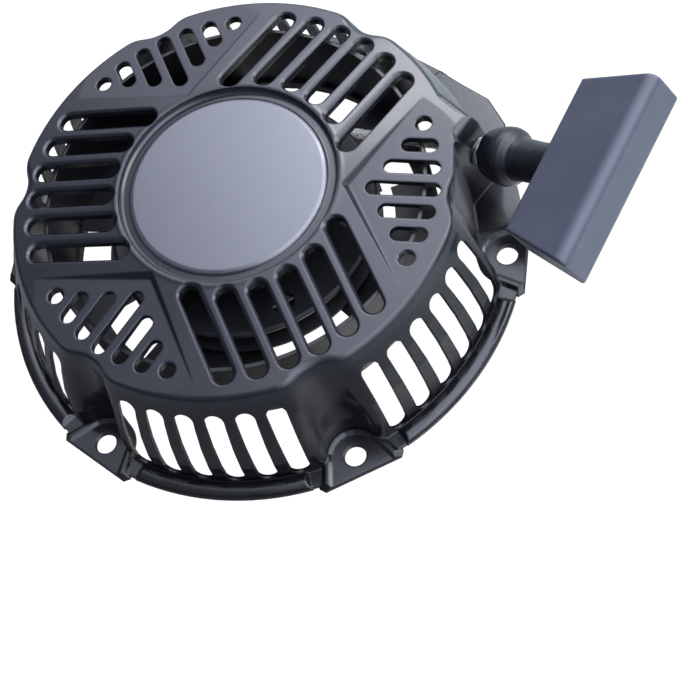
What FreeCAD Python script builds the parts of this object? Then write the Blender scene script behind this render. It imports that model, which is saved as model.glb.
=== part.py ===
import FreeCAD, Part
import math
import os
from FreeCAD import Vector

# Recoil starter for a small engine. Millimetres, +Z up.
# The origin is on the crank axis, in the plane of the mounting ears.

# Cover
TOP_R = 89.7
MID_R = 97.5
FOOT_R = 101.3
TOP_Z = 46.8
MID_Z = 26.0
POCKET_LOW_R = 10.4
POCKET_TOP_R = 15.5
HUB_Z = 57.0
EDGE_ROUND = ((1.0, 49.85), (1.4, 50.7), (2.1, 51.44), (2.9, 51.95), (3.9, 52.2))
EDGE_Z = 52.0
PLATE_T = 4.0
WALL_T = 1.6
DISC_R = 38.5
GROOVE_R = 41.2
RING_R = 44.6
CEILING_Z = 52.0
DOME_R0 = 46.0

# Vents
LONG_W = 7.4
LONG_PITCH = 12.0
LONG_R_IN = 45.6
LONG_R_OUT = 82.0
LONG_GROUPS = (30.0, 150.0, 270.0)
SHORT_W = 6.0
SHORT_PITCH = 9.6
SHORT_SPANS = ((53.5, 82.0), (59.3, 81.0), (65.0, 79.0))
SHORT_GROUPS = (90.0, 210.0, 330.0)
SIDE_HOLE_R = 3.1
SIDE_HOLE_AT = (72.5, 29.0)
PAD_APEX = 47.5
PAD_Z = 54.0
PAD_SLOPE = 0.065
WINDOW_W = 7.6
WINDOW_PITCH = 7.3
WINDOW_Z = (3.0, 43.5)
WINDOW_PANELS = (60.0, 120.0, 180.0, 240.0, 300.0)

# Mounting flange
BOLT_R = 101.5
BOLT_HOLE_R = 4.3
EAR_R = 109.6
EAR_W = 17.7
EAR_SLOPE = 3.0
EAR_T = 3.0
ARCH_R = 9.2
ARCH_MOUTH = 13.6
ARCH_DROP = 1.0
RING_R_OUT = 107.8
RING_T = 1.8
LOBE_T = 2.3
BEAD_R = 104.6
BEAD_W = 7.2
BEAD_H = 3.7
BEAD_SPAN = 39.0
MOUNT_ANGLES = tuple(30.0 + 60.0 * k for k in range(6))

# Air guide inside the cover
CASE_R = 74.5
CASE_T = 1.5
CASE_Z = 10.0
GUIDE_R = 50.5
GUIDE_Z = 15.7
GUIDE_T = 1.0
GUIDE_PORTS = ((255.0, 36.0, 40.0, 70.0), (185.0, 23.0, 40.0, 68.0), (334.0, 18.0, 40.0, 58.5),
               (352.0, 13.0, 55.0, 69.0), (28.0, 42.0, 55.0, 73.0), (150.0, 15.0, 60.0, 73.0))

# Rope, exit and handle
ROPE_R = 2.25
EXIT = Vector(94.8, -18.05, 28.6)
FACET_NORMAL = Vector(0.5, -0.8660254, 0.0)
EYELET_BORE = 3.9
EYELET_R = 6.4
STEM_DIR = Vector(0.4894, -0.7772, 0.3955).normalize()
STEM_START = 6.0
STEM_LEN = 32.8
GRIP_IN_LEN = 64.6
GRIP_OUT_LEN = 78.6
GRIP_SHIFT = 0.6
GRIP_DEPTH = 31.0
GRIP_T = 18.7
GRIP_ROLL = 11.2

# Pulley and ratchet
POST_R = 7.0
POST_TIP_R = 5.0
BUSH_R = 8.5
PULLEY_R = 54.0
DRUM_R = 31.4
ROPE_Z = 25.0
ROPE_WRAP_R = 47.7
PULLEY_Z = 16.0
PAWL_PIN_AT = 28.0
PAWL_PIN_R = 2.45
RUN = 0.05


def pol(radius, degrees, z=0.0):
    a = math.radians(degrees)
    return Vector(radius * math.cos(a), radius * math.sin(a), z)


def revolve(profile, degrees=360.0, start=0.0):
    pts = [Vector(r, 0, z) for r, z in profile]
    face = Part.Face(Part.makePolygon(pts + [pts[0]]))
    body = face.revolve(Vector(0, 0, 0), Vector(0, 0, 1), degrees)
    body.rotate(Vector(0, 0, 0), Vector(0, 0, 1), start)
    return body


def cyl(r, z0, z1, x=0.0, y=0.0):
    return Part.makeCylinder(r, z1 - z0, Vector(x, y, z0))


def tube(r_in, r_out, z0, z1):
    return cyl(r_out, z0, z1).cut(cyl(r_in, z0 - 1, z1 + 1))


def fuse_all(shapes):
    return shapes[0].multiFuse(shapes[1:]).removeSplitter()


def cut_all(shape, tools):
    return shape.cut(Part.makeCompound(tools))


def spun(shape, degrees):
    s = shape.copy()
    s.rotate(Vector(0, 0, 0), Vector(0, 0, 1), degrees)
    return s


def placed(shape, origin, z_dir, x_dir):
    z = Vector(z_dir).normalize()
    x = Vector(x_dir)
    x = (x - z * x.dot(z)).normalize()
    y = z.cross(x)
    m = FreeCAD.Matrix(x.x, y.x, z.x, origin.x, x.y, y.y, z.y, origin.y, x.z, y.z, z.z, origin.z, 0, 0, 0, 1)
    s = shape.copy()
    s.Placement = FreeCAD.Placement(m)
    return s


def stadium(length, width, height):
    half = length / 2.0 - width / 2.0
    r = width / 2.0
    a = Part.makeLine(Vector(-half, -r, 0), Vector(half, -r, 0))
    b = Part.Arc(Vector(half, -r, 0), Vector(half + r, 0, 0), Vector(half, r, 0)).toShape()
    c = Part.makeLine(Vector(half, r, 0), Vector(-half, r, 0))
    d = Part.Arc(Vector(-half, r, 0), Vector(-half - r, 0, 0), Vector(-half, -r, 0)).toShape()
    return Part.Face(Part.Wire([a, b, c, d])).extrude(Vector(0, 0, height))


# ---------------------------------------------------------------- cover

def outline(radius, depth, hollow, blend, z, inset):
    """Round outline with six hollows, drawn with tangent arcs."""
    reach = radius - depth + hollow
    span = hollow + blend
    near = radius - blend
    beta = math.degrees(math.acos((reach ** 2 + near ** 2 - span ** 2) / (2 * reach * near)))
    edges = []
    for k, mid in enumerate(MOUNT_ANGLES):
        far = pol(reach, mid, z)
        b0 = pol(near, mid - beta, z)
        b1 = pol(near, mid + beta, z)
        t0 = b0 + (far - b0).normalize() * (blend - inset)
        t1 = b1 + (far - b1).normalize() * (blend - inset)
        s0 = pol(radius - inset, mid - beta, z)
        s1 = pol(radius - inset, mid + beta, z)
        m0 = b0 + ((s0 + t0) * 0.5 - b0).normalize() * (blend - inset)
        m1 = b1 + ((s1 + t1) * 0.5 - b1).normalize() * (blend - inset)
        edges.append(Part.Arc(s0, m0, t0).toShape())
        edges.append(Part.Arc(t0, pol(reach - hollow - inset, mid, z), t1).toShape())
        edges.append(Part.Arc(t1, m1, s1).toShape())
        nxt = mid + 60.0
        edges.append(Part.Arc(s1, pol(radius - inset, mid + 30.0, z), pol(radius - inset, nxt - beta, z)).toShape())
    return Part.Wire(edges)


def stack(wires):
    return fuse_all([Part.makeLoft([a, b], True, True) for a, b in zip(wires[:-1], wires[1:])])


def wall_radius(z):
    """Convex draft: one parabola through the foot, middle and top radii."""
    a, b, c = -1.0, MID_Z, TOP_Z
    foot = FOOT_R * (z - b) * (z - c) / ((a - b) * (a - c))
    mid = MID_R * (z - a) * (z - c) / ((b - a) * (b - c))
    return foot + mid + TOP_R * (z - a) * (z - b) / ((c - a) * (c - b))


def wall_outline(z, lift, inset):
    """Wall section at z with a bolt pocket at each ear; lift moves it up unchanged."""
    t = (z + 1.0) / (TOP_Z + 1.0)
    r = wall_radius(z)
    pocket = POCKET_LOW_R + (POCKET_TOP_R - POCKET_LOW_R) * t * t
    return outline(r, r + pocket - BOLT_R, pocket, 5.0 + 9.0 * t ** 3, z + lift, inset)


def exit_notch(inset):
    """Space in front of the rope exit, which opens one bolt pocket on that side."""
    top = [(83.6, -24.6), (109.6, -9.6), (125.0, -40.0), (100.0, -57.5), (74.8, -43.2)]
    low = [(86.0, -23.14), (112.0, -8.14), (128.0, -40.0), (104.0, -60.0), (79.2, -45.7)]
    wires = []
    for pts, z in ((low, -1.0), (top, TOP_Z - 1.0), (top, HUB_Z + 5.0)):
        w = Part.makePolygon([Vector(x, y, z) for x, y in pts + [pts[0]]])
        wires.append(w.makeOffset2D(inset, 2, False, False) if inset else w)
    return stack(wires)


def wall_solid(inset, rounded):
    """Drafted wall with its pockets; the outside also rounds over into the dome."""
    wires = [wall_outline(z, 0.0, inset) for z in (-1.0, 13.0, MID_Z, 37.0, TOP_Z)]
    steps = EDGE_ROUND if rounded else EDGE_ROUND[:1]
    for back, z in steps:
        wires.append(wall_outline(TOP_Z, z - TOP_Z, inset + back))
    wires.append(wall_outline(TOP_Z, HUB_Z + 4.0 - TOP_Z, inset + steps[-1][0]))
    return stack(wires).cut(exit_notch(inset))


def bulge_solid(inset, rounded):
    """The corner that carries the rope exit."""
    top = [(58, 38), (72.6, 49.6), (96.6, -17.1), (83.6, -24.6), (74, -41), (50, -30)]
    low = [(58, 38), (78.0, 54.0), (105.0, -12.17), (86.0, -23.14), (79, -45), (50, -30)]
    steps = EDGE_ROUND if rounded else EDGE_ROUND[:1]
    rings = [(low, -1.0, 0.0), (top, TOP_Z - 1.0, 0.0)]
    rings += [(top, z - 1.0, back) for back, z in steps]
    rings.append((top, HUB_Z + 4.0, steps[-1][0]))
    wires = []
    for pts, z, back in rings:
        w = Part.makePolygon([Vector(x, y, z) for x, y in pts + [pts[0]]])
        if inset + back > 0.0:
            w = w.makeOffset2D(-inset - back, 2, False, False)
        wires.append(w)
    return stack(wires)


def dome_z(r):
    slope = (HUB_Z - 0.3 - EDGE_Z) / (86.0 - DOME_R0)
    return HUB_Z - 0.3 - slope * (r - DOME_R0)


def crown(drop):
    """Everything under the top skin, lowered by the plate thickness for the inside."""
    if drop:
        prof = [(0, -5), (0, CEILING_Z), (DOME_R0 - 1.0, CEILING_Z), (DOME_R0, dome_z(DOME_R0) - drop)]
        prof += [(118.0, dome_z(118.0) - drop), (118.0, -5)]
        return revolve(prof)
    prof = [(0, -5), (0, 55.8), (DISC_R - 1.0, 55.8), (DISC_R, 55.4), (DISC_R + 0.9, 54.4)]
    prof += [(GROOVE_R + 0.8, 54.2), (GROOVE_R + 1.6, 54.9), (GROOVE_R + 2.2, 56.2), (RING_R - 1.4, 56.9)]
    prof += [(RING_R, HUB_Z), (DOME_R0, dome_z(DOME_R0)), (118.0, dome_z(118.0)), (118.0, -5)]
    return revolve(prof)


def pad_tool():
    """Sloping flat cut into the dome, with a V-shaped step towards the hub."""
    wires = []
    for lift, back in ((0.0, 0.0), (5.0, 4.6)):
        pts = []
        for u, v in ((PAD_APEX - back, 0.0), (PAD_APEX - back + 35.0, 60.6), (130.0, 60.6), (130.0, -60.6),
                     (PAD_APEX - back + 35.0, -60.6)):
            pts.append(Vector(u, v, PAD_Z + lift - PAD_SLOPE * (u - PAD_APEX)))
        wires.append(Part.makePolygon(pts + [pts[0]]))
    return Part.makeLoft(wires, True, True)


def slot_tool(u0, u1, v, width, lip):
    """Vertical slot from u0 to u1 with a flared mouth that follows the dome."""
    through = stadium(u1 - u0, width, 30.0)
    through.translate(Vector((u0 + u1) / 2.0, v, 40.0))
    z0 = dome_z(math.hypot(u0, v))
    z1 = dome_z(math.hypot(u1, v))
    tilt = math.degrees(math.atan2(z1 - z0, u1 - u0))
    mouth = []
    for grow, z in ((-0.4, -lip - 0.4), (lip, 0.0), (lip * 2.4, lip * 0.8)):
        f = stadium(u1 - u0 + 2 * grow, width + 2 * grow, 1.0)
        wire = [x for x in f.Faces if abs(x.CenterOfMass.z) < 1e-6][0].OuterWire
        wire.translate(Vector(0, 0, z))
        mouth.append(wire)
    flare = fuse_all([Part.makeLoft(mouth[:2], True, True), Part.makeLoft(mouth[1:], True, True)])
    flare.rotate(Vector(0, 0, 0), Vector(0, 1, 0), -tilt)
    flare.translate(Vector((u0 + u1) / 2.0, v, (z0 + z1) / 2.0))
    return fuse_all([through, flare])


def vent_tools():
    tools = []
    for group in LONG_GROUPS:
        for i in range(6):
            v = (i - 2.5) * LONG_PITCH
            u0 = math.sqrt(LONG_R_IN ** 2 - v * v)
            u1 = math.sqrt(LONG_R_OUT ** 2 - v * v)
            tools.append(spun(slot_tool(u0, u1, v, LONG_W, 1.1), group))
    for group in SHORT_GROUPS:
        for i in range(-2, 3):
            u0, u1 = SHORT_SPANS[abs(i)]
            tools.append(spun(slot_tool(u0, u1, i * SHORT_PITCH, SHORT_W, 0.9), group))
        for side in (-1, 1):
            u, v = SIDE_HOLE_AT
            z = dome_z(math.hypot(u, v))
            hole = cyl(SIDE_HOLE_R, 40.0, 70.0, u, side * v)
            flare = Part.makeCone(SIDE_HOLE_R, SIDE_HOLE_R + 2.4, 2.4, Vector(u, side * v, z - 0.9))
            tools.append(spun(hole.fuse(flare), group))
    return tools


def window_tools():
    tools = []
    height = WINDOW_Z[1] - WINDOW_Z[0]
    for panel in WINDOW_PANELS:
        for i in range(6):
            a = panel + (i - 2.5) * WINDOW_PITCH
            slot = stadium(height, WINDOW_W, 30.0)
            at = pol(71.6, a, (WINDOW_Z[0] + WINDOW_Z[1]) / 2.0)
            tools.append(placed(slot, at, pol(1.0, a), Vector(0, 0, 1)))
    return tools


def arch(z, grow):
    """Outline behind one bolt hole that widens towards the ear's outer edge."""
    r = ARCH_R + grow
    pts = []
    for a in range(100, 261, 20):
        c = math.radians(a)
        pts.append(Vector(BOLT_R + r * math.cos(c), r * math.sin(c), z))
    pts.append(Vector(EAR_R + 2.0, -ARCH_MOUTH - grow, z))
    pts.append(Vector(EAR_R + 2.0, ARCH_MOUTH + grow, z))
    return Part.makePolygon(pts + [pts[0]])


def ear(angle):
    """Raised tab with sloping sides and a shallow recess around one bolt hole."""
    wires = []
    for z, back in ((0.0, 0.0), (0.8, 0.0), (EAR_T, EAR_SLOPE)):
        w = EAR_W - back
        pts = [(86.0, -w + 5.5), (96.0, -w + 4.5), (EAR_R - 2.4, -w), (EAR_R - back * 0.2, -w + 1.8)]
        pts += [(u, -v) for u, v in reversed(pts)]
        wires.append(Part.makePolygon([Vector(u, v, z) for u, v in pts + [pts[0]]]))
    recess = Part.makeLoft([arch(EAR_T - ARCH_DROP, 0.0), arch(EAR_T + 0.2, 1.5)], True, True)
    return spun(stack(wires).cut(recess), angle)


def exit_lobe():
    """Wider part of the flange under the rope exit's corner."""
    wires = []
    for z, back in ((0.0, 0.0), (LOBE_T - 0.9, 0.0), (LOBE_T, 0.8)):
        pts = [(88, 38), (101.0, 44.0), (106.0, 33.5), (112.8, 20.5), (113.6, 6.0), (111, -6), (103, -13), (90, -18)]
        w = Part.makePolygon([Vector(x, y, z) for x, y in pts + [pts[0]]])
        wires.append(w.makeOffset2D(-back, 2, False, False) if back else w)
    return stack(wires)


def bead(angle):
    """Raised lip of the flange between two ears, with rounded square ends."""
    r0 = BEAD_R - BEAD_W / 2.0
    r1 = BEAD_R + BEAD_W / 2.0
    side = BEAD_H * 0.38
    knee = BEAD_H * 0.93
    a, b = Vector(r0, 0, side), Vector(r0 + 1.9, 0, knee)
    c, d = Vector(r1 - 1.9, 0, knee), Vector(r1, 0, side)
    edges = [Part.makeLine(Vector(r0, 0, 0), a)]
    edges.append(Part.Arc(a, Vector(r0 + 0.6, 0, BEAD_H * 0.74), b).toShape())
    edges.append(Part.Arc(b, Vector(BEAD_R, 0, BEAD_H), c).toShape())
    edges.append(Part.Arc(c, Vector(r1 - 0.6, 0, BEAD_H * 0.74), d).toShape())
    edges.append(Part.makeLine(d, Vector(r1, 0, 0)))
    edges.append(Part.makeLine(Vector(r1, 0, 0), Vector(r0, 0, 0)))
    body = Part.Face(Part.Wire(edges)).revolve(Vector(0, 0, 0), Vector(0, 0, 1), BEAD_SPAN)
    body.rotate(Vector(0, 0, 0), Vector(0, 0, 1), -BEAD_SPAN / 2.0)
    wires = []
    for z, back in ((-0.1, 0.0), (RING_T, 0.3), (BEAD_H + 0.1, 2.2)):
        half = math.radians(BEAD_SPAN / 2.0) - back / BEAD_R
        pts = [(90.0, -90.0 * math.tan(half)), (120.0, -120.0 * math.tan(half))]
        pts += [(u, -v) for u, v in reversed(pts)]
        wires.append(Part.makePolygon([Vector(u, v, z) for u, v in pts + [pts[0]]]))
    return spun(body.common(stack(wires)), angle)


def flange():
    ring = tube(84.0, RING_R_OUT, 0.0, RING_T)
    parts = [ring, exit_lobe()] + [ear(a) for a in MOUNT_ANGLES] + [bead(60.0 * k) for k in range(1, 6)]
    return parts[0].multiFuse(parts[1:])


def cover():
    outer = fuse_all([wall_solid(0.0, True), bulge_solid(0.0, True)]).common(crown(0.0))
    inner = fuse_all([wall_solid(WALL_T, False), bulge_solid(WALL_T, False)]).common(crown(PLATE_T))
    skirt = cyl(120.0, 0.0, 80.0)
    shell = outer.common(skirt).multiFuse([flange()])
    shell = shell.cut(inner)
    pads = [spun(pad_tool(), a) for a in SHORT_GROUPS]
    shell = cut_all(shell, pads)
    shell = cut_all(shell, vent_tools())
    shell = cut_all(shell, window_tools())
    shell = cut_all(shell, [cyl(BOLT_HOLE_R, -1, 10, pol(BOLT_R, a).x, pol(BOLT_R, a).y) for a in MOUNT_ANGLES])
    bore = cyl(EYELET_BORE + 1.0, -12, 20).fuse(cyl(EYELET_R + 0.4, 0.1, 20))
    return shell.cut(placed(bore, EXIT, FACET_NORMAL, Vector(0, 0, 1))).removeSplitter()


def inner_case():
    """Air ring that hangs from the top plate around the pulley."""
    r0, r1 = CASE_R, CASE_R + CASE_T
    ring = revolve([(r0, CASE_Z), (r1, CASE_Z), (r1, dome_z(r1) - PLATE_T), (r0, dome_z(r0) - PLATE_T)])
    slot = stadium(30.0, 10.0, 60.0)
    return ring.cut(placed(slot, Vector(70.0, 4.0, 26.5), Vector(1, -0.2, 0), Vector(0, 1, 0)))


def air_guide():
    """Flat shelf inside the air ring, with ports that let the cooling air through."""
    plate = tube(GUIDE_R, CASE_R, GUIDE_Z, GUIDE_Z + GUIDE_T)
    ports = []
    for start, span, r0, r1 in GUIDE_PORTS:
        ports.append(revolve([(r0, 0), (r1, 0), (r1, 30), (r0, 30)], span, start))
    return cut_all(plate, ports)


# ---------------------------------------------------------------- fixed inner parts

def centre_post():
    body = fuse_all([cyl(POST_R, PULLEY_Z, CEILING_Z), cyl(POST_TIP_R, 7.0, PULLEY_Z + 1)])
    return body.cut(cyl(3.05, 6.0, 24.0))


def spring_case():
    wall = tube(37.0, 38.0, 37.0, CEILING_Z)
    return fuse_all([wall, tube(14.0, 37.5, 37.0, 38.0)])


def half_turns(radii, start, profile):
    """Spiral of half turns about two centres: profile(radius) gives the face that is swept."""
    parts = []
    centre = 0.0
    for k, radius in enumerate(radii):
        if k:
            centre += (radius - radii[k - 1]) * (1 if k % 2 else -1)
        turn = profile(radius).revolve(Vector(0, 0, 0), Vector(0, 0, 1), 180.0)
        turn = spun(turn, 180.0 * (k % 2))
        turn.translate(Vector(centre, 0, 0))
        parts.append(spun(turn, start))
    return parts


def recoil_spring():
    """Strip spring, packed against its case with two loose turns inside."""
    loose = [14.0 + 3.4 * k for k in range(4)]
    packed = [26.0 + 0.9 * k for k in range(9)]

    def profile(radius):
        pts = [Vector(radius - 0.3, 0, 39.5), Vector(radius + 0.3, 0, 39.5)]
        pts += [Vector(radius + 0.3, 0, 50.5), Vector(radius - 0.3, 0, 50.5)]
        return Part.Face(Part.makePolygon(pts + [pts[0]]))

    return fuse_all(half_turns(loose + packed, 0.0, profile))


def rope(points, radius):
    """Round cord along straight stretches, with a slightly fuller ball at each joint."""
    parts = []
    for a, b in zip(points[:-1], points[1:]):
        parts.append(Part.makeCylinder(radius, (b - a).Length, a, b - a))
    for p in points[:-1]:
        parts.append(Part.makeSphere(radius + 0.03, p))
    return parts[0].multiFuse(parts[1:])


def tangent_angle():
    reach = math.hypot(EXIT.x, EXIT.y)
    return math.degrees(math.atan2(EXIT.y, EXIT.x) + math.acos(ROPE_WRAP_R / reach))


def rope_run():
    leave = tangent_angle()
    ring = Part.makeTorus(ROPE_WRAP_R, ROPE_R, Vector(0, 0, ROPE_Z), Vector(0, 0, 1), -180, 180, 340)
    ring = spun(ring, leave)
    start = pol(ROPE_WRAP_R, leave, ROPE_Z)
    return ring.multiFuse([rope([start, EXIT, EXIT + STEM_DIR * 4.0], ROPE_R)])


def rope_coil():
    """Two inner turns of rope on the reel."""
    def profile(radius):
        ring = Part.makeCircle(ROPE_R, Vector(radius, 0, ROPE_Z), Vector(0, 1, 0))
        return Part.Face(Part.Wire(ring))

    turns = half_turns([33.9, 36.17, 38.44, 40.71], tangent_angle() + 30.0, profile)
    return turns[0].multiFuse(turns[1:])


def eyelet():
    """Turned ferrule in the wall, flared on the outside."""
    prof = [(EYELET_BORE, -4.0), (EYELET_BORE + 0.98, -4.0), (EYELET_BORE + 0.98, 0.1), (EYELET_R, 0.1)]
    prof += [(EYELET_R, 1.0), (EYELET_R - 0.7, 2.0), (EYELET_BORE + 1.0, 2.4), (EYELET_BORE, 1.6)]
    return placed(revolve(prof), EXIT, FACET_NORMAL, Vector(0, 0, 1))


def centre_washer():
    return tube(3.1, 9.0, 5.9, 7.0)


def hexagon(flats, z0, z1):
    r = flats / math.sqrt(3.0)
    pts = [pol(r, 60.0 * k, z0) for k in range(7)]
    return Part.Face(Part.makePolygon(pts)).extrude(Vector(0, 0, z1 - z0))


def centre_screw():
    crown_cut = revolve([(0, 1.4), (5.2, 1.4), (6.4, 2.4), (6.4, 4.7), (7.0, 4.9), (7.0, 5.9), (0, 5.9)])
    head = fuse_all([hexagon(10.0, 1.4, 4.9), cyl(6.8, 4.7, 5.9)]).common(crown_cut)
    return fuse_all([head, cyl(3.0, 5.5, 22.0)])


# ---------------------------------------------------------------- pulley

def pulley_reel():
    prof = [(BUSH_R, PULLEY_Z), (33.0, PULLEY_Z), (34.0, 17.0), (34.0, 19.0), (52.8, 17.6), (PULLEY_R, 18.4)]
    prof += [(PULLEY_R, 19.4), (35.0, 22.4), (DRUM_R, 22.5), (DRUM_R, 27.5), (35.0, 27.6), (PULLEY_R, 30.8)]
    prof += [(PULLEY_R, 31.8), (52.8, 32.6), (34.0, 30.4), (28.0, 30.4), (28.0, 21.0), (13.0, 21.0)]
    prof += [(13.0, 35.0), (12.0, 36.0), (12.0, 50.0), (BUSH_R, 50.0)]
    body = revolve(prof)
    ribs = []
    for k in range(6):
        rib = Part.makeBox(16.5, 3.0, 9.0, Vector(12.5, -1.5, 20.5))
        ribs.append(spun(rib, 60.0 * k))
    body = fuse_all([body] + ribs)
    notches = [spun(cyl(4.6, 28.8, 40.0, 44.0, 0.0), 60.0 * k + 30.0) for k in range(6)]
    return cut_all(body, notches)


def bushing():
    return tube(POST_R + RUN, BUSH_R, PULLEY_Z, 48.0)


def pawl_pin(angle):
    pin = fuse_all([cyl(PAWL_PIN_R, 9.0, PULLEY_Z, PAWL_PIN_AT, 0), cyl(4.2, 8.2, 9.2, PAWL_PIN_AT, 0)])
    return spun(pin, angle)


def pawl(angle):
    """Ratchet pawl at rest, folded inside the starter cup."""
    boss = cyl(5.6, 9.3, 15.9, 0, 0)
    pts = [(-1.0, 5.4), (9.0, 3.6), (19.5, -0.4), (20.6, -4.2), (17.5, -6.6), (8.0, -5.2), (0.5, -5.5)]
    arm = Part.Face(Part.makePolygon([Vector(x, y, 9.3) for x, y in pts + [pts[0]]])).extrude(Vector(0, 0, 6.6))
    body = fuse_all([boss, arm]).cut(cyl(PAWL_PIN_R + RUN, 0, 30))
    body = body.cut(cyl(9.2, 13.2, 30).cut(cyl(4.0, 0, 40)))
    body.translate(Vector(0, PAWL_PIN_AT, 0))
    return spun(body, angle - 90.0)


def pawl_spring(angle):
    coils = []
    for k in range(3):
        coils.append(Part.makeTorus(5.2, 0.4, Vector(PAWL_PIN_AT, 0, 13.7 + 0.72 * k)))
    leg = Part.makeCylinder(0.38, 9.0, Vector(PAWL_PIN_AT - 4.9, -1.2, 15.12), Vector(-0.12, 1, 0))
    return spun(coils[0].multiFuse(coils[1:] + [leg]), angle)


def pawl_guide():
    plate = cyl(17.0, 7.05, 9.15)
    cams = []
    for a in (0.0, 180.0):
        lobe = tube(12.5, 17.0, 8.0, 13.0).common(Part.makeBox(20, 10, 20, Vector(0, -5, 0)))
        cams.append(spun(lobe, a))
    wings = [spun(Part.makeBox(7.0, 9.0, 2.1, Vector(14.0, -4.5, 7.05)), a) for a in (45.0, 225.0)]
    hub = cyl(8.8, 7.05, PULLEY_Z - RUN)
    return fuse_all([plate, hub] + cams + wings).cut(cyl(POST_TIP_R + RUN, 0, 30))


def friction_spring():
    ring = Part.makeTorus(9.35, 0.5, Vector(0, 0, 12.0), Vector(0, 0, 1), -180, 180, 320)
    leg = Part.makeCylinder(0.5, 10.0, Vector(9.35, 0, 12.0), Vector(0.2, -1, 0))
    return ring.multiFuse([leg])


# ---------------------------------------------------------------- handle

def stem_frame():
    side = Vector(0, 0, 1).cross(STEM_DIR).normalize()
    top = STEM_DIR.cross(side).normalize()
    a = math.radians(GRIP_ROLL)
    return side * math.cos(a) + top * math.sin(a), top * math.cos(a) - side * math.sin(a)


def stem_at(distance):
    return EXIT + STEM_DIR * (STEM_START + distance)


def handle_stem():
    prof = [(ROPE_R + 0.3, 0.0), (8.2, 0.0), (9.3, 0.8), (10.6, 4.0), (11.5, 8.0), (11.6, 10.5), (11.1, 12.4)]
    prof += [(9.7, 14.2), (8.8, 15.2), (8.3, 18.0), (8.1, 26.0), (8.6, STEM_LEN), (ROPE_R + 0.3, STEM_LEN)]
    return placed(revolve(prof), stem_at(0.0), STEM_DIR, Vector(0, 0, 1))


def long_edge(e, y, z):
    p, q = (v.Point for v in e.Vertexes)
    level = abs(p.z - z) < 0.01 and abs(q.z - z) < 0.01
    return level and abs(p.y - y) < 0.01 and abs(q.y - y) < 0.01


def grip_block():
    a = GRIP_IN_LEN / 2.0
    b = GRIP_OUT_LEN / 2.0
    h = GRIP_T / 2.0
    pts = [Vector(-a, -h, 0), Vector(a, -h, 0), Vector(b, -h, GRIP_DEPTH), Vector(-b, -h, GRIP_DEPTH)]
    block = Part.Face(Part.makePolygon(pts + [pts[0]])).extrude(Vector(0, GRIP_T, 0))
    for side, radius in ((h, 4.5), (-h, 2.0)):
        edges = [e for e in block.Edges if long_edge(e, side, GRIP_DEPTH)]
        block = block.makeFillet(radius, edges)
    keep = []
    for e in block.Edges:
        z = [v.Point.z for v in e.Vertexes]
        if max(z) < GRIP_DEPTH - 5.0 or (min(z) < 1.0 and max(z) > GRIP_DEPTH - 6.0):
            keep.append(e)
    return block.makeFillet(1.1, keep)


def handle_grip():
    long_dir, top_dir = stem_frame()
    block = grip_block()
    block.translate(Vector(GRIP_SHIFT, 0, 0))
    pocket = cyl(7.0, 6.0, 20.0)
    bore = cyl(ROPE_R + 0.3, -1.0, 10.0)
    slit = Part.makeBox(12.0, 40.0, 14.0, Vector(-6.0, -40.0, 6.0))
    block = block.cut(pocket).cut(bore).cut(slit)
    return placed(block, stem_at(STEM_LEN), STEM_DIR, long_dir)


def handle_disc():
    long_dir, top_dir = stem_frame()
    disc = tube(ROPE_R + 0.3, 5.6, 6.0, 7.2)
    return placed(disc, stem_at(STEM_LEN), STEM_DIR, long_dir)


def handle_knot():
    a = stem_at(STEM_LEN + 7.2)
    lobes = [Part.makeSphere(3.3, a + STEM_DIR * 3.3)]
    lobes.append(Part.makeTorus(2.6, 2.0, a + STEM_DIR * 4.2, STEM_DIR))
    return lobes[0].multiFuse(lobes[1:])


def rope_lead():
    return Part.makeCylinder(ROPE_R, STEM_START - 4.0 + STEM_LEN + 7.2, EXIT + STEM_DIR * 4.0, STEM_DIR)


def build():
    parts = {
        "housing": cover(),
        "inner_case": inner_case(),
        "air_guide": air_guide(),
        "centre_post": centre_post(),
        "spring_case": spring_case(),
        "recoil_spring": recoil_spring(),
        "rope_eyelet": eyelet(),
        "rope_run": rope_run(),
        "centre_washer": centre_washer(),
        "centre_screw": centre_screw(),
        "pulley_reel": pulley_reel(),
        "pulley_bushing": bushing(),
        "rope_coil": rope_coil(),
        "pawl_pin_a": pawl_pin(90.0),
        "pawl_pin_b": pawl_pin(270.0),
        "pawl_spring_a": pawl_spring(90.0),
        "pawl_spring_b": pawl_spring(270.0),
        "pawl_a": pawl(90.0),
        "pawl_b": pawl(270.0),
        "pawl_guide": pawl_guide(),
        "friction_spring": friction_spring(),
        "handle_stem": handle_stem(),
        "handle_grip": handle_grip(),
        "handle_disc": handle_disc(),
        "handle_knot": handle_knot(),
        "rope_lead": rope_lead(),
    }
    os.makedirs("parts", exist_ok=True)
    for name, shape in parts.items():
        shape.exportStep("parts/" + name + ".step")
        print(name, shape.ShapeType, "solids", len(shape.Solids), "valid", shape.isValid(), round(shape.Volume, 1))


build()
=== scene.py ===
import math

import bpy
import numpy as np
from mathutils import Matrix, Vector


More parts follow.
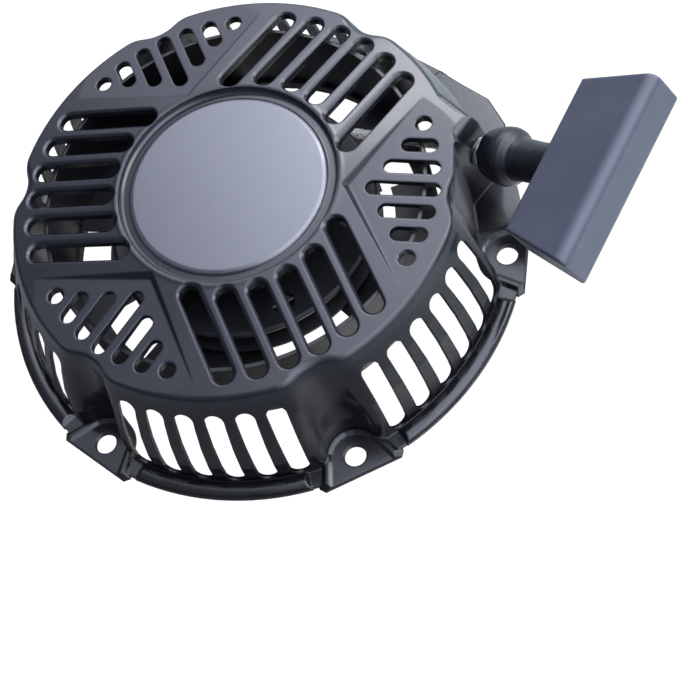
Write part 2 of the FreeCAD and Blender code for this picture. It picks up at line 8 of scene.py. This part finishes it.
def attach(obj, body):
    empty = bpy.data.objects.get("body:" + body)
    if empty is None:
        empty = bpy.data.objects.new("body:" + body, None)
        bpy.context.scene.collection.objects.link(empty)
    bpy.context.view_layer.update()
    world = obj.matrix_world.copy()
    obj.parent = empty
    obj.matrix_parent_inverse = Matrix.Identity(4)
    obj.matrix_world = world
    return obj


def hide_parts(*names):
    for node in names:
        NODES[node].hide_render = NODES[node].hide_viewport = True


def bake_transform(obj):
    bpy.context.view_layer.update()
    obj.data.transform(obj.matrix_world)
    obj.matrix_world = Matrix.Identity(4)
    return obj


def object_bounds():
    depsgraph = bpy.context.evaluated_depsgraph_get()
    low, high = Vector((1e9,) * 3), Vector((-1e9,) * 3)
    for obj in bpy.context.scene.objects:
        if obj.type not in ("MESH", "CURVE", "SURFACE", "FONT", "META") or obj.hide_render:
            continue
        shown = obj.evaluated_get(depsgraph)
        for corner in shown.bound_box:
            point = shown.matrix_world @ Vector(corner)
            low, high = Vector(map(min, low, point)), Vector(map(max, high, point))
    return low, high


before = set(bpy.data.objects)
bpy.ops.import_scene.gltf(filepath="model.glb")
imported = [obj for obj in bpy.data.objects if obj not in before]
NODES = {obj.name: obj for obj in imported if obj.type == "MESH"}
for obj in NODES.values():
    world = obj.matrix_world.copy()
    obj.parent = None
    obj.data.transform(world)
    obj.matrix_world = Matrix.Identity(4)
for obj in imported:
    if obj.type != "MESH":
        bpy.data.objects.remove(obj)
cad_box = [list(v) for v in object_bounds()]

MM = 0.001

# cover: the satin disc inside the raised ring, and the shoulder below which the side wall is
# painted darker than the top plate as painted shade
DISC_R = 0.0386
DISC_EDGE = 0.0392
DISC_Z = (0.052, 0.0545)
SIDE_SHADE_Z = (0.040, 0.0515)
DISC_CROWN = 0.85

# part of a noise's range that is stretched to the whole of a ramp
MID = (0.3, 0.7)

# marks per metre across turned and drawn metal
TURNED = 2600.0
DRAWN = 300.0

# rope: reel, exit and handle
ROPE_R = 2.25 * MM
ROPE_Z = 25.0 * MM
WRAP_R = 47.7 * MM
WRAP_SPAN = 337.0
WRAP_STEP = 2.0
EXIT = Vector((94.8, -18.05, 28.6)) * MM
BEND = 3.0 * MM
STEM_DIR = Vector((0.4894, -0.7772, 0.3955)).normalized()
STEM_START = 6.0 * MM
STEM_LENGTH = 32.8 * MM
LEAD_START = 4.0 * MM
KNOT_DEPTH = 7.6 * MM

# rope: strands each way, length of one turn, and each strand's section
STRANDS = 6
PLAIT = 11.0 * MM
STRAND_SIDES = 6
STRAND_WAVE = 0.16 * ROPE_R
STRAND_THICK = 0.17 * ROPE_R
STRAND_WIDE = math.pi * ROPE_R / STRANDS * 0.62
STEP = 0.75 * MM
FINE_STEP = 0.35 * MM

# camera: distances in units of UNIT metres, FOCAL in points of a frame that is FRAME points high
UNIT = 0.090
ELEV, ROLL, DIST = math.radians(62.02), math.radians(-25.17), 7.0
SHIFT = (-0.3611, 0.4231)
FOCAL = 1523.43
FRAME = 690.0
SENSOR = 36.0
CLIP = (0.01, 20.0)

# studio: sky strength as (from, to, strength at from, strength at to) along each axis
SKY_Z = (-0.05, 0.85, 0.10, 1.0)
SKY_X = (-0.38, 0.36, 0.36, 4.2)
SKY_COLOUR = (0.90, 0.95, 1.14)

# floor: what reflections see of it, by place along X (painted light: darker towards -X, lighter
# towards +X), and what the eye sees
FLOOR_HALF = 6.0
FLOOR_DROP = 0.0004
GREY_X = (0.02, 0.26)
GREYS = ((0.14, 0.142, 0.142), (0.46, 0.53, 0.50))
WHITE = (0.95, 0.95, 0.95)
GLOW = 1.12
GLOW_SHARE = 0.93

# name, place, aim, size, power, colour
LAMPS = [
    ("key", (0.65, 0.75, 1.0), (0, 0, 0.03), (0.6, 0.5), 5.0, (1, 1, 1)),
    ("below", (0.35, -0.45, -0.9), (0, 0, 0.02), (0.9, 0.9), 32.0, (1, 1, 1)),
    ("rim", (0.9, -0.1, 0.5), (0.05, 0, 0.03), (0.5, 0.6), 4.0, (0.9, 1.0, 0.95)),
]


# ------------------------------------------------------------ shader helpers

class Nodes:
    """Adds nodes to the tree of one material or world, and links them."""

    def __init__(self, owner):
        owner.use_nodes = True
        self.owner = owner
        self.tree = owner.node_tree

    def feed(self, socket, value):
        """Link a node's output to a socket, or set a colour or a number."""
        if isinstance(value, bpy.types.NodeSocket):
            self.tree.links.new(value, socket)
        elif isinstance(value, tuple):
            socket.default_value = (*value, 1.0)
        else:
            socket.default_value = value

    def add(self, kind, values=None, props=None):
        node = self.tree.nodes.new(kind)
        for key, value in (props or {}).items():
            setattr(node, key, value)
        for key, value in (values or {}).items():
            self.feed(node.inputs[key], value)
        return node

    def coords(self, space="Object"):
        return self.add("ShaderNodeTexCoord").outputs[space]

    def axes(self, space="Object"):
        """A point's X, Y and Z as sockets."""
        return self.add("ShaderNodeSeparateXYZ", {"Vector": self.coords(space)}).outputs

    def noise(self, scale, detail=2.0, rough=0.5, vector=None):
        vector = self.coords() if vector is None else vector
        values = {"Vector": vector, "Scale": scale, "Detail": detail, "Roughness": rough}
        return self.add("ShaderNodeTexNoise", values).outputs["Fac"]

    def math(self, operation, a, b=None, clamp=False):
        node = self.add("ShaderNodeMath", props={"operation": operation, "use_clamp": clamp})
        self.feed(node.inputs[0], a)
        if b is not None:
            self.feed(node.inputs[1], b)
        return node.outputs[0]

    def ramp(self, value, low, high, a=0.0, b=1.0, curve="LINEAR"):
        values = {"Value": value, "From Min": low, "From Max": high, "To Min": a, "To Max": b}
        node = self.add("ShaderNodeMapRange", values, {"interpolation_type": curve})
        return node.outputs["Result"]

    def mix(self, factor, a, b):
        """Mix of two colours."""
        node = self.add("ShaderNodeMix", {"Factor": factor}, {"data_type": "RGBA"})
        ends = [socket for socket in node.inputs if socket.type == "RGBA"]
        for socket, value in zip(ends, (a, b)):
            self.feed(socket, value)
        return [socket for socket in node.outputs if socket.type == "RGBA"][0]

    def mix_shaders(self, factor, a, b):
        node = self.add("ShaderNodeMixShader")
        for socket, value in zip(node.inputs, (factor, a, b)):
            self.feed(socket, value)
        return node.outputs[0]

    def bump(self, height, strength, distance, normal=None):
        values = {"Height": height, "Strength": strength, "Distance": distance}
        if normal is not None:
            values["Normal"] = normal
        return self.add("ShaderNodeBump", values).outputs["Normal"]

    def soft_edges(self, radius):
        return self.add("ShaderNodeBevel", {"Radius": radius}, {"samples": 6}).outputs["Normal"]

    def principled(self, **values):
        """Feed the Principled shader's inputs and return the material."""
        shader = self.tree.nodes["Principled BSDF"]
        for key, value in values.items():
            self.feed(shader.inputs[key.replace("_", " ")], value)
        return self.owner


def new_material(name):
    return Nodes(bpy.data.materials.new(name))


def srgb(*channels):
    def linear(c):
        return c / 12.92 if c <= 0.04045 else ((c + 0.055) / 1.055) ** 2.4
    return tuple(linear(c / 255.0) for c in channels)


# ------------------------------------------------------------ materials

def radial(m):
    """Distance from the crank axis and height above the flange, in object coordinates."""
    x, y, z = m.axes()
    square = m.math("ADD", m.math("MULTIPLY", x, x), m.math("MULTIPLY", y, y))
    return m.math("SQRT", square), z


def cover_paint():
    """Blue-black powder coat: soft gloss, faint orange peel, a lighter satin disc, and painted
    shade that makes the side wall darker than the top plate.
    """
    m = new_material("cover_paint")
    r, z = radial(m)
    disc = m.math("MULTIPLY", m.ramp(r, DISC_R, DISC_EDGE, 1.0, 0.0), m.ramp(z, *DISC_Z), True)
    cloud = m.noise(28.0, 3.0, 0.55)
    plate = m.mix(m.ramp(cloud, 0.35, 0.65), srgb(20, 21, 26), srgb(25, 27, 33))
    # painted shade: the side wall gets a darker copy of the top plate's coat
    side = m.mix(m.ramp(cloud, *MID), srgb(11, 12, 14), srgb(16, 17, 20))
    satin = m.mix(m.ramp(m.noise(60.0, 4.0, 0.6), *MID), srgb(52, 54, 62), srgb(55, 57, 65))
    # painted shade: below the shoulder the side wall takes the darker colour
    colour = m.mix(disc, m.mix(m.ramp(z, *SIDE_SHADE_Z), side, plate), satin)
    gloss = m.ramp(m.noise(90.0, 4.0, 0.6), *MID, 0.15, 0.22)
    peel = m.math("ADD", m.noise(900.0), m.math("MULTIPLY", m.noise(3800.0, 1.0), 0.25))
    inside = m.math("MINIMUM", r, DISC_R)
    crown = m.math("MULTIPLY", m.math("MULTIPLY", inside, inside), -DISC_CROWN)
    domed = m.bump(crown, 1.0, 1.0, m.soft_edges(0.0011))
    return m.principled(
        Base_Color=colour,
        Roughness=m.math("ADD", gloss, m.math("MULTIPLY", disc, 0.07)),
        Normal=m.bump(peel, 0.06, 0.0004, domed),
        Coat_Weight=m.ramp(disc, 0.0, 1.0, 0.25, 1.0),
        Coat_Roughness=0.14,
        Specular_IOR_Level=m.ramp(disc, 0.0, 1.0, 0.5, 1.0))


def inner_paint():
    """Plain black paint, duller than the cover's."""
    m = new_material("inner_paint")
    cloud = m.noise(40.0, 3.0)
    return m.principled(
        Base_Color=m.mix(m.ramp(cloud, *MID), srgb(13, 13, 15), srgb(19, 19, 22)),
        Roughness=m.ramp(cloud, *MID, 0.28, 0.4),
        Normal=m.bump(m.noise(1100.0), 0.12, 0.0004, m.soft_edges(0.0005)))


def moulded(name, low, high, grain, rough, edge, depth):
    """Moulded plastic with a fine spark-eroded texture."""
    m = new_material(name)
    colour = m.mix(m.ramp(m.noise(35.0, 4.0, 0.6), *MID), srgb(*low), srgb(*high))
    grains = m.noise(grain, 3.0, 0.6)
    tips = srgb(*(c + 22 for c in high))
    return m.principled(
        Base_Color=m.mix(m.ramp(grains, 0.55, 0.8, 0.0, 0.3), colour, tips),
        Roughness=m.ramp(m.noise(120.0, 3.0), *MID, rough - 0.05, rough + 0.05),
        Normal=m.bump(grains, depth, 0.0003, m.soft_edges(edge)),
        Specular_IOR_Level=0.5)


def metal(name, colour, rough, stain=(90, 82, 70), marks=TURNED):
    """Metal with marks round the crank axis and a little uneven oil film."""
    m = new_material(name)
    r, z = radial(m)
    film = m.ramp(m.noise(55.0, 5.0, 0.65), 0.45, 0.75, 0.0, 0.35)
    across = {"X": m.math("MULTIPLY", r, marks), "Y": m.math("MULTIPLY", z, TURNED)}
    rings = m.noise(1.0, vector=m.add("ShaderNodeCombineXYZ", across).outputs[0])
    return m.principled(
        Base_Color=m.mix(film, srgb(*colour), srgb(*stain)),
        Metallic=1.0,
        Roughness=m.ramp(m.noise(160.0, 4.0), *MID, rough - 0.06, rough + 0.08),
        Normal=m.bump(rings, 0.18, 0.0002, m.soft_edges(0.0004)))


def cord_fibre():
    """Braided nylon: the plait is in the mesh, the filaments are in the bump."""
    m = new_material("cord_fibre")
    fibres = m.noise(4200.0, 2.0, 0.6)
    clean = m.mix(m.ramp(fibres, *MID), srgb(205, 203, 192), srgb(240, 238, 230))
    dirt = m.ramp(m.noise(90.0, 3.0), 0.55, 0.8, 0.0, 0.25)
    return m.principled(
        Base_Color=m.mix(dirt, clean, srgb(176, 168, 150)),
        Roughness=0.62,
        Normal=m.bump(fibres, 0.35, 0.0002),
        Sheen_Weight=0.25,
        Sheen_Roughness=0.5)


GRIP = {"grain": 2600.0, "rough": 0.34, "edge": 0.0009, "depth": 0.10}
STEM = {"grain": 2400.0, "rough": 0.34, "edge": 0.0006, "depth": 0.10}
REEL = {"grain": 1800.0, "rough": 0.42, "edge": 0.0008, "depth": 0.12}

MATERIALS = {
    "cover_paint": cover_paint(),
    "inner_paint": inner_paint(),
    "grip_plastic": moulded("grip_plastic", (58, 60, 72), (67, 70, 82), **GRIP),
    "stem_plastic": moulded("stem_plastic", (14, 15, 20), (20, 22, 28), **STEM),
    "reel_plastic": moulded("reel_plastic", (22, 22, 24), (34, 34, 37), **REEL),
    "zinc": metal("zinc", (188, 190, 194), 0.30),
    "dark_steel": metal("dark_steel", (92, 94, 100), 0.38),
    "spring_steel": metal("spring_steel", (84, 92, 110), 0.30, stain=(70, 62, 80)),
    "ferrule": metal("ferrule", (214, 215, 218), 0.16, marks=DRAWN),
    "bronze": metal("bronze", (170, 128, 74), 0.42, stain=(110, 80, 50)),
    "cord_fibre": cord_fibre(),
}

FINISH = {
    "cover_paint": ["housing"],
    "inner_paint": ["inner_case", "air_guide"],
    "grip_plastic": ["handle_grip"],
    "stem_plastic": ["handle_stem"],
    "reel_plastic": ["pulley_reel"],
    "zinc": ["centre_washer", "centre_screw", "pawl_pin_a", "pawl_pin_b", "pawl_a", "pawl_b",
             "handle_disc"],
    "dark_steel": ["centre_post", "spring_case", "pawl_guide"],
    "spring_steel": ["recoil_spring", "pawl_spring_a", "pawl_spring_b", "friction_spring"],
    "ferrule": ["rope_eyelet"],
    "bronze": ["pulley_bushing"],
    "cord_fibre": ["rope_run", "rope_coil", "rope_lead", "handle_knot"],
}

for key, names in FINISH.items():
    for name in names:
        mesh = NODES[name].data
        mesh.materials.clear()
        mesh.materials.append(MATERIALS[key])


# ------------------------------------------------------------ rope

def resample(points, step):
    """Points every step metres along a polyline, and their distances along it."""
    pts = np.array([tuple(p) for p in points])
    gap = np.linalg.norm(np.diff(pts, axis=0), axis=1)
    s = np.concatenate([[0.0], np.cumsum(gap)])
    t = np.linspace(0.0, s[-1], max(3, int(s[-1] / step) + 1))
    return np.stack([np.interp(t, s, pts[:, i]) for i in range(3)], axis=1), t


def carried_frames(pts):
    """Two normals at each point, turned as little as possible along the way."""
    tangent = np.gradient(pts, axis=0)
    tangent /= np.linalg.norm(tangent, axis=1)[:, None]
    n = np.cross(tangent[0], (0.0, 0.0, 1.0))
    first, second = [], []
    for t in tangent:
        n = n - t * float(np.dot(n, t))
        n = n / np.linalg.norm(n)
        first.append(n)
        second.append(np.cross(t, n))
    return np.array(first), np.array(second)


def braid(name, points, step=STEP):
    """Plaited cord: strands wind both ways and pass over and under each other."""
    pts, s = resample(points, step)
    n, b = carried_frames(pts)
    m = STRAND_SIDES
    ring = [(math.cos(a), math.sin(a)) for a in np.linspace(0, 2 * math.pi, m + 1)[:-1]]
    verts, faces = [], []
    for way in (1, -1):
        wave = way * STRAND_WAVE * np.cos(STRANDS * 2 * math.pi * s / PLAIT)
        lift = ROPE_R - STRAND_WAVE - STRAND_THICK + wave
        for k in range(STRANDS):
            turn = way * 2 * math.pi * s / PLAIT + 2 * math.pi * k / STRANDS
            base = len(verts)
            for i in range(len(s)):
                out = n[i] * math.cos(turn[i]) + b[i] * math.sin(turn[i])
                side = b[i] * math.cos(turn[i]) - n[i] * math.sin(turn[i])
                for u, v in ring:
                    raised = out * (lift[i] + v * STRAND_THICK)
                    verts.append(tuple(pts[i] + raised + side * (u * STRAND_WIDE)))
            last = base + (len(s) - 1) * m
            for row in range(base, last, m):
                for j in range(m):
                    a, c = row + j, row + (j + 1) % m
                    faces.append((a, c, c + m, a + m))
            faces.append(tuple(base + j for j in reversed(range(m))))
            faces.append(tuple(last + j for j in range(m)))
    return cord_piece(name, verts, faces)


def cord_piece(name, verts, faces):
    mesh = bpy.data.meshes.new(name)
    mesh.from_pydata(verts, [], faces)
    mesh.polygons.foreach_set("use_smooth", [True] * len(faces))
    mesh.materials.append(MATERIALS["cord_fibre"])
    mesh.update()
    piece = bpy.data.objects.new(name, mesh)
    bpy.context.scene.collection.objects.link(piece)
    return piece


def rope_route():
    """Round the reel, off it in a straight line and round the ferrule's lip."""
    reach = math.hypot(EXIT.x, EXIT.y)
    leave = math.atan2(EXIT.y, EXIT.x) + math.acos(WRAP_R / reach)
    arc = [leave + math.radians(a) for a in np.arange(WRAP_SPAN, -0.1, -WRAP_STEP)]
    wrap = [Vector((WRAP_R * math.cos(a), WRAP_R * math.sin(a), ROPE_Z)) for a in arc]
    run = (EXIT - wrap[-1]).normalized()
    inner, outer = EXIT - run * BEND, EXIT + STEM_DIR * BEND
    bend = [inner * (1 - t) ** 2 + EXIT * (2 * t * (1 - t)) + outer * t ** 2
            for t in np.linspace(0, 1, 9)]
    return wrap, inner, bend


def make_rope():
    wrap, inner, bend = rope_route()
    fixed = braid("rope_run_braid", wrap + [inner])
    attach(fixed, "housing")
    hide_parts("rope_run")
    mouth = EXIT + STEM_DIR * (STEM_START + LEAD_START)
    pulled = braid("rope_pulled", [inner] + bend + [mouth], FINE_STEP)
    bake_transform(pulled)
    knot = EXIT + STEM_DIR * (STEM_START + STEM_LENGTH + KNOT_DEPTH)
    lead = braid("rope_lead_braid", [mouth, knot])
    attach(lead, "handle")
    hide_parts("rope_lead")


# ------------------------------------------------------------ camera, light, floor

def make_camera():
    back = Vector((0, -math.cos(ELEV), math.sin(ELEV)))
    level = Vector((1, 0, 0))
    upright = back.cross(level)
    right = level * math.cos(ROLL) + upright * math.sin(ROLL)
    up = upright * math.cos(ROLL) - level * math.sin(ROLL)
    place = (right * -SHIFT[0] + up * -SHIFT[1] + back * DIST) * UNIT
    data = bpy.data.cameras.new("camera")
    data.lens = FOCAL / FRAME * SENSOR
    data.sensor_width = SENSOR
    data.clip_start, data.clip_end = CLIP
    cam = bpy.data.objects.new("camera", data)
    turn = Matrix((right, up, back)).transposed().to_4x4()
    cam.matrix_world = Matrix.Translation(place) @ turn
    bpy.context.scene.collection.objects.link(cam)
    bpy.context.scene.camera = cam


def make_lamp(name, place, target, size, power, colour):
    data = bpy.data.lights.new(name, "AREA")
    data.shape = "RECTANGLE"
    data.size, data.size_y = size
    data.energy = power
    data.color = colour
    lamp = bpy.data.objects.new(name, data)
    lamp.location = place
    lamp.visible_camera = False
    aim = Vector(target) - Vector(place)
    lamp.rotation_euler = aim.to_track_quat("-Z", "Y").to_euler()
    bpy.context.scene.collection.objects.link(lamp)


def make_world():
    """Pale studio: a broad cool softbox overhead that is brighter on the +X side."""
    world = bpy.data.worlds.new("studio")
    bpy.context.scene.world = world
    w = Nodes(world)
    axes = w.axes("Generated")
    overhead = w.ramp(axes["Z"], *SKY_Z, curve="SMOOTHSTEP")
    sideways = w.ramp(axes["X"], *SKY_X, curve="SMOOTHSTEP")
    sky = w.tree.nodes["Background"]
    w.feed(sky.inputs["Strength"], w.math("MULTIPLY", overhead, sideways))
    w.feed(sky.inputs["Color"], SKY_COLOUR)


def floor_white():
    """White to the eye, grey in reflections with painted light that is lighter towards +X, clear
    from below and to shadow rays.
    """
    m = new_material("floor_white")
    m.tree.nodes.remove(m.tree.nodes["Principled BSDF"])
    ray = m.add("ShaderNodeLightPath").outputs
    # painted light: the floor as reflections see it is lighter towards +X
    tone = m.mix(m.ramp(m.axes()["X"], *GREY_X), *GREYS)
    grey = m.add("ShaderNodeBsdfDiffuse", {"Color": tone}).outputs[0]
    matte = m.add("ShaderNodeBsdfDiffuse", {"Color": WHITE}).outputs[0]
    glow = m.add("ShaderNodeEmission", {"Strength": GLOW}).outputs[0]
    seen = m.mix_shaders(GLOW_SHARE, matte, glow)
    solid = m.mix_shaders(ray["Is Camera Ray"], grey, seen)
    clear = m.add("ShaderNodeBsdfTransparent").outputs[0]
    below = m.add("ShaderNodeNewGeometry").outputs["Backfacing"]
    either = m.math("MAXIMUM", below, ray["Is Shadow Ray"])
    output = m.tree.nodes["Material Output"]
    m.feed(output.inputs["Surface"], m.mix_shaders(either, solid, clear))
    return m.owner


def make_floor():
    mesh = bpy.data.meshes.new("floor")
    s = FLOOR_HALF
    mesh.from_pydata([(-s, -s, 0), (s, -s, 0), (s, s, 0), (-s, s, 0)], [], [(0, 1, 2, 3)])
    mesh.materials.append(floor_white())
    floor = bpy.data.objects.new("floor", mesh)
    floor.location.z = cad_box[0][2] - FLOOR_DROP
    bpy.context.scene.collection.objects.link(floor)


make_rope()
bpy.context.scene.view_settings.view_transform = "Standard"
make_camera()
make_world()
make_floor()
for lamp in LAMPS:
    make_lamp(*lamp)
